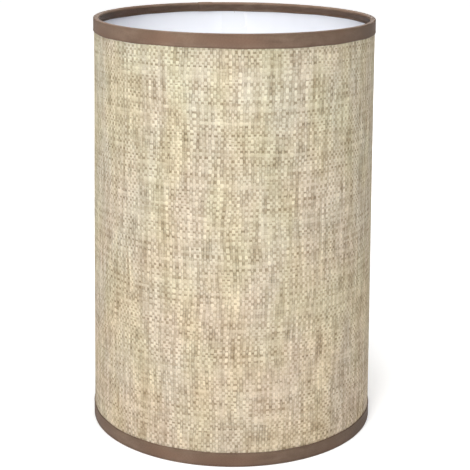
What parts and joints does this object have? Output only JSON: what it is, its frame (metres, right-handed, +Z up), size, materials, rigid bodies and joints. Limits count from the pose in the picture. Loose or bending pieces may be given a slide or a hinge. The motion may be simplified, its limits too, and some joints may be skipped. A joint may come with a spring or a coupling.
{
  "type": "lamp shade",
  "caption": "Hardback drum lamp shade: woven cover on a white liner, tape-bound wire rims, three-arm fitter low inside and a loose lampholder reducer ring.",
  "frame": {"origin": "centre of the bottom rim, on the surface that the shade stands on", "axes": "+Z up along the shade's axis and out of its open top; +Y towards the seam of the cover at the back, -Y the front"},
  "size_m": [0.2, 0.2, 0.3],
  "materials": {
    "hessian": "coarse plain weave of cream and tan yarn with slubs, matt",
    "liner_sheet": "smooth white sheet with a soft sheen",
    "clear_tape": "thin clear adhesive tape",
    "coated_wire": "white epoxy coating, satin",
    "moulded_plastic": "white moulded plastic, satin",
    "trim_tape": "taupe-brown faux suede tape, matt"
  },
  "bodies": {
    "shade": {"fabric_cover": "hessian", "liner": "liner_sheet", "seam_tape": "clear_tape", "top_ring": "coated_wire", "bottom_ring": "coated_wire", "fitter_arm_1": "coated_wire", "fitter_arm_2": "coated_wire", "fitter_arm_3": "coated_wire", "holder_ring": "coated_wire", "top_trim": "trim_tape", "bottom_trim": "trim_tape"},
    "reducer": {"reducer_ring": "moulded_plastic"}
  },
  "joints": [
    {"name": "reducer_lift", "type": "slide", "parent": "shade", "child": "reducer", "axis": [0, 0, 1], "range_m": [0, 0.29]}
  ]
}
